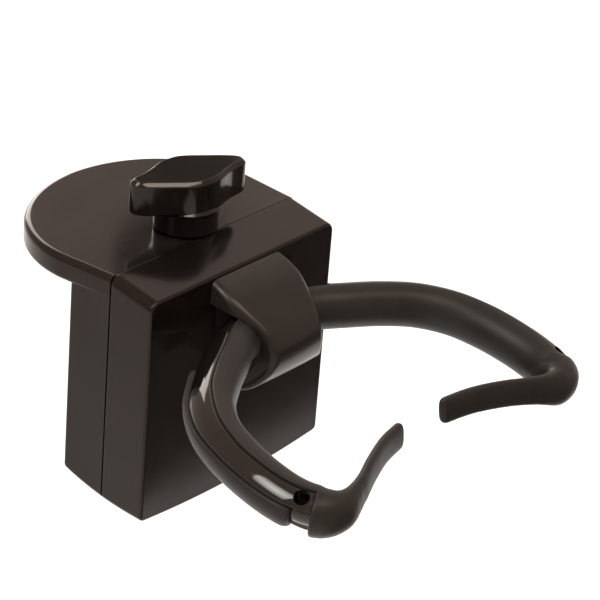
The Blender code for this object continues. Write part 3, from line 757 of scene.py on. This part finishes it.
def spline(points, count):
    """Catmull-Rom curve through the points, resampled to equal steps."""
    p = np.array(points, float)
    p = np.vstack([2 * p[0] - p[1], p, 2 * p[-1] - p[-2]])
    dense = []
    for i in range(1, len(p) - 2):
        for t in np.linspace(0.0, 1.0, 24, endpoint=False):
            dense.append(between(p[i - 1], p[i], p[i + 1], p[i + 2], t))
    dense.append(p[-2])
    dense = np.array(dense)
    length = np.concatenate([[0.0], np.cumsum(np.linalg.norm(np.diff(dense, axis=0), axis=1))])
    at = np.linspace(0.0, length[-1], count)
    return np.column_stack([np.interp(at, length, dense[:, k]) for k in range(3)])


def stations(curve, at):
    """Points, inward and upward directions at fractions of a curve's length."""
    tangent = np.gradient(curve, axis=0)
    tangent /= np.linalg.norm(tangent, axis=1)[:, None]
    up = np.array((0.0, 0.12, 1.0))
    up = up - tangent * (tangent @ up)[:, None]
    up /= np.linalg.norm(up, axis=1)[:, None]
    inward = np.cross(tangent, up)
    where = np.array(at) * (len(curve) - 1)
    index = np.arange(len(curve))

    def pick(values):
        return np.column_stack([np.interp(where, index, values[:, k]) for k in range(3)])

    return pick(curve), pick(inward), pick(up)


def rings_along(track, sections):
    """One ring per station; a section is points as (inward, up)."""
    points, inward, up = track
    rings = []
    for i, section in enumerate(sections):
        rings.append([tuple(points[i] + inward[i] * u + up[i] * v) for u, v in section])
    return rings


def mirrored(rings):
    return [[(-x, y, z) for x, y, z in ring] for ring in rings]


ARM = spline(ARM_POINTS, 481)
ARM_LENGTH = float(np.linalg.norm(np.diff(ARM, axis=0), axis=1).sum())


def polar(radii, angles):
    return [(r * math.cos(math.radians(a)), r * math.sin(math.radians(a))) for r, a in zip(radii, angles)]


def arc(radius, low, high, count):
    return polar([radius] * count, np.linspace(low, high, count))


def liner_edge(at):
    """Angle of the liner's upper edge; the bare band beside it is widest near the hub."""
    ease = float(np.clip((at - 0.48) / 0.24, 0.0, 1.0))
    return LINER_ANGLES[1] - 17.0 * (1.0 - ease * ease * (3.0 - 2.0 * ease))


def core_section(at):
    """Yoke core: its bare band stands proud of the seats for the liner and strip, with round shoulders."""
    fill = float(np.clip((HUB_EXIT - 0.02 - at) / 0.02, 0.0, 1.0))
    low = liner_edge(at)
    high = STRIP_ANGLES[0]
    seat = LINER_SEAT + (HUB_CORE_RADIUS - LINER_SEAT) * fill
    strip = STRIP_SEAT + (HUB_CORE_RADIUS - STRIP_SEAT) * fill
    bare = CORE_RADIUS + (HUB_CORE_RADIUS - CORE_RADIUS) * fill
    ring = arc(seat, LINER_ANGLES[0] + 1.0, low + 0.2, 30)
    ease = 0.35 * (1.0 - fill)
    ring += polar((bare - ease, bare - 0.3 * ease), (low + 0.8, low + 2.0))
    ring += arc(bare, low + 5.0, high - 5.0, 22)
    ring += polar((bare - 0.3 * ease, bare - ease), (high - 2.0, high - 0.8))
    ring += arc(strip, high - 0.2, STRIP_ANGLES[1] - 1.0, 14)
    ring += arc(HUB_CORE_RADIUS, STRIP_ANGLES[1] + 3.0, LINER_ANGLES[0] + 357.0, 6)
    return ring


def end_hole(side):
    """Blind round hole sunk in the bare band of the core just before its end."""
    points, inward, up = (v[0] for v in stations(ARM, [HOLE_AT]))
    angle = math.radians(HOLE_ANGLE)
    axis = inward * math.cos(angle) + up * math.sin(angle)
    along = np.cross(up, inward)
    across = np.cross(axis, along)
    rings = []
    for depth in (-1.4, 8.0):
        ring = []
        for k in range(48):
            a = 2 * math.pi * k / 48
            x, y, z = points + axis * depth + HOLE_RADIUS * (along * math.cos(a) + across * math.sin(a))
            ring.append((side * x, y, z))
        rings.append(ring)
    return loft("hole", rings)


def yoke_core():
    at = np.linspace(0.0, CORE_END, 131)
    right = rings_along(stations(ARM, at), [core_section(t) for t in at])
    body = loft("yoke_core", mirrored(right)[:0:-1] + right)
    join(body, box("block", (-10.5, -51.4, -16.4), (10.5, FRONT_Y - 0.2, -2.0)))
    cutters = [end_hole(-1.0), end_hole(1.0)]
    for x in (-BOLT_X, BOLT_X):
        cutters.append(turned("thread", (x, BOLT_Z), ((2.25, -51.0), (2.25, FRONT_Y + 1.0)), "y", 32))
    cut(body, *cutters)
    dress(body, GLOSS, "housing", ["yoke_frame"], 0.22)


def band(outer, inner, low, high, count, lip):
    """Crescent between two radii over an arc, its outer edges rounded by a lip."""
    spread = math.degrees(lip / outer)
    ring = arc(inner, low, high, count)
    ring += polar((outer - lip, outer - 0.3 * lip), (high, high - 0.3 * spread))
    ring += arc(outer, high - spread, low + spread, count)
    ring += polar((outer - 0.3 * lip, outer - lip), (low + 0.3 * spread, low))
    return ring


def bend_sizes(along):
    """Half sizes of the cover past the core's end: inner, outer, upper, lower and the shape's power."""
    rows = (
        (0.0, 5.9, 5.9, 5.9, 5.95, 1.0),
        (2.0, 5.75, 5.7, 5.6, 5.9, 1.0),
        (4.0, 5.1, 4.9, 5.1, 5.6, 0.97),
        (6.0, 4.0, 3.8, 4.6, 5.1, 0.93),
        (8.0, 2.9, 2.8, 4.2, 4.55, 0.88),
        (10.0, 2.1, 2.1, 3.9, 4.1, 0.83),
        (13.0, 1.55, 1.55, 3.6, 3.75, 0.77),
        (17.0, 1.40, 1.40, 3.40, 3.50, 0.74),
        (50.0, 1.20, 1.20, 3.30, 3.40, 0.72),
    )
    table = np.array(rows)
    return [float(np.interp(along, table[:, 0], table[:, k])) for k in range(1, 6)]


def crescents(start, wall):
    """Places and sections of the right-hand cover where it wraps the core, from start to the core's end."""
    places = []
    sections = []
    for step in np.concatenate([[0.0, 0.1, 0.3, 0.6], np.linspace(1.0, wall - start, 84)]):
        ease = 0.5 * (1.0 - math.sqrt(max(0.0, 1.0 - (1.0 - min(step / 0.6, 1.0)) ** 2)))
        edge = liner_edge((start + step) / ARM_LENGTH) - 0.8
        radius = TUBE_RADIUS - ease
        places.append(start + step)
        sections.append(band(radius, COVER_SEAT, COVER_ANGLES[0], edge, COVER_POINTS, COVER_LIP))
    return places, sections


def closed_angles():
    """Angles round a closed section, in step with the points of a crescent."""
    low, high = COVER_ANGLES
    spread = math.degrees(COVER_LIP / TUBE_RADIUS)
    angles = list(np.linspace(low, high - 360.0, COVER_POINTS))
    angles += [high, high - 0.3 * spread]
    angles += list(np.linspace(high - spread, low + spread, COVER_POINTS))
    return angles + [low + 0.3 * spread, low]


def closed_section(step, left, angles):
    """Section of the cover at a step past the core's end, and a distance left to the tip."""
    inner_half, outer_half, upper, lower, power = bend_sizes(step)
    short = COVER_TIP_RADIUS - min(left, COVER_TIP_RADIUS)
    corner = COVER_TIP_RADIUS - math.sqrt(max(0.0, COVER_TIP_RADIUS ** 2 - short ** 2))
    thin = 1.0 - (1.0 - min(left / 1.2, 1.0)) ** 2 * 0.75
    lip = COVER_LIP - math.sqrt(max(0.0, COVER_LIP ** 2 - (COVER_LIP - min(step, COVER_LIP)) ** 2))
    ring = []
    for k, angle in enumerate(angles):
        c = math.cos(math.radians(angle))
        s = math.sin(math.radians(angle))
        u = (inner_half if c > 0.0 else outer_half) * math.copysign(abs(c) ** power, c) * thin
        v = ((upper if s > 0.0 else lower) - corner) * math.copysign(abs(s) ** power, s)
        ease = 1.0 - (lip / TUBE_RADIUS if k < COVER_POINTS else 0.0)
        ring.append((u * ease, v * ease))
    return ring


def cover_rings():
    """Right-hand cover: a crescent over the core, a full round past its end, then a flat blade."""
    path = spline(ARM_POINTS[:-1] + COVER_BEND + TONGUE_POINTS[1:], 1201)
    length = np.concatenate([[0.0], np.cumsum(np.linalg.norm(np.diff(path, axis=0), axis=1))])
    wall = ARM_LENGTH * (CORE_END + 0.003)
    reach = length[-1] - wall
    places, sections = crescents(ARM_LENGTH * HUB_EXIT, wall)
    angles = closed_angles()
    steps = [0.02, 0.1, 0.25, 0.5] + list(np.arange(1.0, reach - 2.2, 0.5))
    steps += [reach - d for d in (1.9, 1.5, 1.1, 0.75, 0.45, 0.22, 0.08, 0.0)]
    for step in steps:
        places.append(wall + step)
        sections.append(closed_section(step, reach - step, angles))
    where = np.interp(places, length, np.arange(len(path))) / (len(path) - 1)
    return rings_along(stations(path, where), sections)


def arm_covers():
    """Liner, end cap and tongue of each arm are one soft moulding, lofted in one piece along the bend into
    the tongue.
    """
    rings = cover_rings()
    for name, side, own in (("left", -1.0, mirrored(rings)), ("right", 1.0, rings)):
        cover = loft("arm_cover_" + name, own)
        dress(cover, RUBBER, None, ["liner_" + name, "end_cap_" + name, "tongue_" + name])
        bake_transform(cover)


def strips():
    """Soft strip let into the outer lower side of each arm, with rounded ends."""
    seat = STRIP_SEAT + 0.2
    ends = np.radians(np.linspace(0.0, 90.0, 8))
    start = [(STRIP_START + 0.016 * (1.0 - math.cos(a)), math.sin(a)) for a in ends]
    middle = [(t, 1.0) for t in np.linspace(STRIP_START + 0.022, STRIP_END - 0.026, 70)]
    finish = [(STRIP_END - 0.020 * (1.0 - math.cos(a)), math.sin(a)) for a in reversed(ends)]
    spans = start + middle + finish
    sections = []
    for at, ease in spans:
        along = (at - STRIP_START) / (STRIP_END - STRIP_START)
        full = STRIP_RADIUS + 0.1 - 0.8 * along
        outer = seat + 0.9 + (full - seat - 0.9) * ease
        sections.append(band(outer, seat, STRIP_ANGLES[0] + 0.8, STRIP_ANGLES[1] - 2.0, 18, 0.7))
    rings = rings_along(stations(ARM, [at for at, ease in spans]), sections)
    for name, own in (("strip_left", mirrored(rings)), ("strip_right", rings)):
        dress(loft(name + "_soft", own), RUBBER, "housing", [name])


COWL_BACK_Y = FRONT_Y - 0.2
COWL_EDGE = 2.0
# From the top down: outer y and z, inner y and z, and half width
COWL_ROWS = (
    (COWL_BACK_Y, 5.1, COWL_BACK_Y, -0.9, 12.6),
    (-46.5, 4.1, -46.5, -1.0, 12.8),
    (-50.0, 2.4, -49.5, -1.1, 12.7),
    (-53.3, 0.2, -52.6, -1.75, 12.0),
    (-56.5, -2.1, -55.0, -2.9, 10.9),
    (-59.3, -4.5, -57.0, -5.2, 9.9),
    (-61.3, -7.3, -57.7, -8.0, 9.3),
    (-62.0, -10.2, -57.6, -10.6, 9.3),
    (-61.4, -13.4, -57.0, -12.6, 10.0),
    (-60.0, -16.0, -55.9, -14.6, 11.6),
    (-57.9, -18.2, -54.6, -16.2, 14.0),
    (-55.8, -19.0, -53.4, -17.2, 15.4),
)


def cowl():
    """Soft cowl over the hub, with round sides and a slightly domed face."""
    fine = len(COWL_ROWS) * 5
    outer = spline([(y, z, half) for y, z, y_in, z_in, half in COWL_ROWS], fine)
    inner = spline([(y_in, z_in, half) for y, z, y_in, z_in, half in COWL_ROWS], fine)
    rounding = fillet(COWL_EDGE, 8)
    columns = [(-1.0, d, inset) for d, inset in rounding]
    columns += [(x, COWL_EDGE, 0.0) for x in np.linspace(-1.0, 1.0, 31)[1:-1]]
    columns += [(1.0, d, inset) for d, inset in reversed(rounding)]
    rings = []
    for x, d, inset in columns:
        ring = []
        dome = 0.28 * (1.0 - x * x)
        for (y, z, half), (y_in, z_in, _) in zip(outer, inner):
            gap = max(math.hypot(y - y_in, z - z_in), 0.1)
            scale = min(inset / gap, 0.8)
            ring.append((x * (half - d), y + (y_in - y) * scale - dome, z + (z_in - z) * scale))
        ring[0] = (ring[0][0], COWL_BACK_Y, ring[0][2])
        ring += [(x * (half - d), y_in, z_in) for y_in, z_in, half in inner[::-1]]
        rings.append(ring)
    cowl_object = loft("hub_cowl", rings)
    dress(cowl_object, COWL_RUBBER, "housing", ["saddle_cushion"], 0.25)


# ---------------------------------------------------------------- carried-over nodes

def small_parts():
    """Hidden fasteners and bearings keep their CAD shape, with eased edges and their own finish."""
    looks = {
        "backing_plate": (STEEL, "zinc_steel"),
        "yoke_bolt_left": (STEEL, "zinc_steel"),
        "yoke_bolt_right": (STEEL, "zinc_steel"),
        "retaining_ring": (STEEL, "zinc_steel"),
        "thrust_washer": (NYLON, "nylon"),
        "foot_bush": (NYLON, "nylon"),
        "jaw_nut": (BRASS, "brass"),
    }
    for name, (material, slot) in looks.items():
        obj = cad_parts[name]
        obj.data.materials.clear()
        obj.data.materials.append(material)
        bevel = obj.modifiers.new("edges", "BEVEL")
        bevel.width = 0.12 * MM
        bevel.segments = 2
        bevel.limit_method = "ANGLE"
        bevel.angle_limit = math.radians(40.0)


# ---------------------------------------------------------------- studio

WORLD_COLOUR = (0.86, 0.70, 0.63)
WORLD_STRENGTH = 1.0
FLOOR_Z = -150.0
CAMERA_PLACE = (-0.45364, -0.41876, 0.30917)
CAMERA_RIGHT = Vector((0.6480, -0.7581, 0.0731))
CAMERA_UP = Vector((0.3153, 0.3544, 0.8803))
CAMERA_LENS = 165.5


def card(name, centre, size, facing, strength, spread):
    """Soft box: a rectangular area light that faces a point; a smaller spread is a deeper grid."""
    lamp = bpy.data.lights.new(name, "AREA")
    lamp.shape = "RECTANGLE"
    lamp.size = size[0]
    lamp.size_y = size[1]
    lamp.energy = strength * math.pi * size[0] * size[1]
    lamp.spread = math.radians(spread)
    lamp.color = (1.0, 0.95, 0.91)
    obj = bpy.data.objects.new(name, lamp)
    obj.location = centre
    obj.rotation_mode = "QUATERNION"
    obj.rotation_quaternion = (Vector(facing) - Vector(centre)).to_track_quat("-Z", "Y")
    bpy.context.scene.collection.objects.link(obj)
    return obj


def studio():
    reach = ((-9e3, -9e3), (9e3, -9e3), (9e3, 9e3), (-9e3, 9e3))
    floor = piece("floor", [(x, y, FLOOR_Z) for x, y in reach], [(0, 1, 2, 3)])
    mat, tree, shader, coords = start_material("paper")
    cloud = noise(tree, coords, 3.0, 2.0)
    colour = mix_colour(tree, cloud, (0.88, 0.89, 0.89), (0.92, 0.93, 0.93))
    tree.links.new(colour, shader.inputs["Base Color"])
    shader.inputs["Roughness"].default_value = 0.9
    floor.data.materials.append(mat)
    world = bpy.data.worlds.new("studio")
    world.use_nodes = True
    background = world.node_tree.nodes["Background"]
    background.inputs["Color"].default_value = (*WORLD_COLOUR, 1.0)
    background.inputs["Strength"].default_value = WORLD_STRENGTH
    bpy.context.scene.world = world
    hub = (0.0, -0.055, 0.0)
    arm_end = (-0.05, -0.1, -0.012)
    card("front_box", (-0.06, -0.36, 0.62), (0.58, 0.15), hub, 10.0, 180.0)
    card("back_box", (0.837, 1.599, 0.714), (0.87, 1.45), (-0.025, -0.057, -0.003), 6.2, 180.0)
    left = card("left_box", (-0.419, 0.013, 0.448), (0.22, 0.44), arm_end, 1.15, 50.0)
    left.data.color = (0.86, 0.96, 1.0)
    card("side_box", (1.44, 0.45, 1.30), (1.3, 1.0), hub, 0.45, 180.0)
    fill = card("floor_fill", (0.3, 0.3, 1.7), (3.0, 3.0), (0.3, 0.3, 0.0), 0.60, 180.0)
    fill.data.color = (0.72, 0.95, 1.05)
    fill.visible_glossy = False
    knob_flag()
    dark_mat()


def knob_flag():
    """Small dark flag, seen only in reflections, that keeps the knob's flat top dark."""
    facing = Vector((0.679, 0.597, 0.427))
    centre = Vector((0.0, -20.0, 24.0)) + facing * 150.0
    side = facing.cross(Vector((0.0, 0.0, 1.0))).normalized()
    rise = side.cross(facing)
    ring = []
    for k in range(32):
        a = 2 * math.pi * k / 32
        ring.append(centre + side * 19.0 * math.cos(a) + rise * 15.0 * math.sin(a))
    flag = piece("knob_flag", ring, [tuple(range(32))])
    mat, _, shader, _ = start_material("flag_black")
    shader.inputs["Base Color"].default_value = (0.12, 0.105, 0.095, 1.0)
    shader.inputs["Specular IOR Level"].default_value = 0.0
    flag.data.materials.append(mat)
    hide_from_light(flag)


def hide_from_light(obj):
    """Leaves an object to be seen in reflections only."""
    obj.visible_camera = False
    obj.visible_diffuse = False
    obj.visible_shadow = False
    obj.visible_transmission = False


def dark_mat():
    """Dark mat on the floor in front, seen only in reflections; it keeps the front face deep black."""
    corners = ((-60, -150), (900, -150), (900, -1200), (-60, -1200))
    mat_object = piece("dark_mat", [(x, y, FLOOR_Z + 1.0) for x, y in corners], [(0, 1, 2, 3)])
    mat, _, shader, _ = start_material("mat_black")
    shader.inputs["Base Color"].default_value = (0.05, 0.045, 0.04, 1.0)
    mat_object.data.materials.append(mat)
    hide_from_light(mat_object)


def camera():
    data = bpy.data.cameras.new("camera")
    data.lens = CAMERA_LENS
    data.sensor_width = 36.0
    data.clip_start = 0.01
    data.clip_end = 50.0
    obj = bpy.data.objects.new("camera", data)
    axes = Matrix((CAMERA_RIGHT, CAMERA_UP, CAMERA_RIGHT.cross(CAMERA_UP)))
    obj.matrix_world = Matrix.Translation(CAMERA_PLACE) @ axes.transposed().to_4x4()
    bpy.context.scene.collection.objects.link(obj)
    bpy.context.scene.camera = obj
    bpy.context.scene.view_settings.view_transform = "Standard"


front_housing()
rear_housing()
housing_screws()
plate_pad()
knob()
clamp_screw()
jaw()
yoke_core()
arm_covers()
strips()
cowl()
small_parts()
studio()
camera()
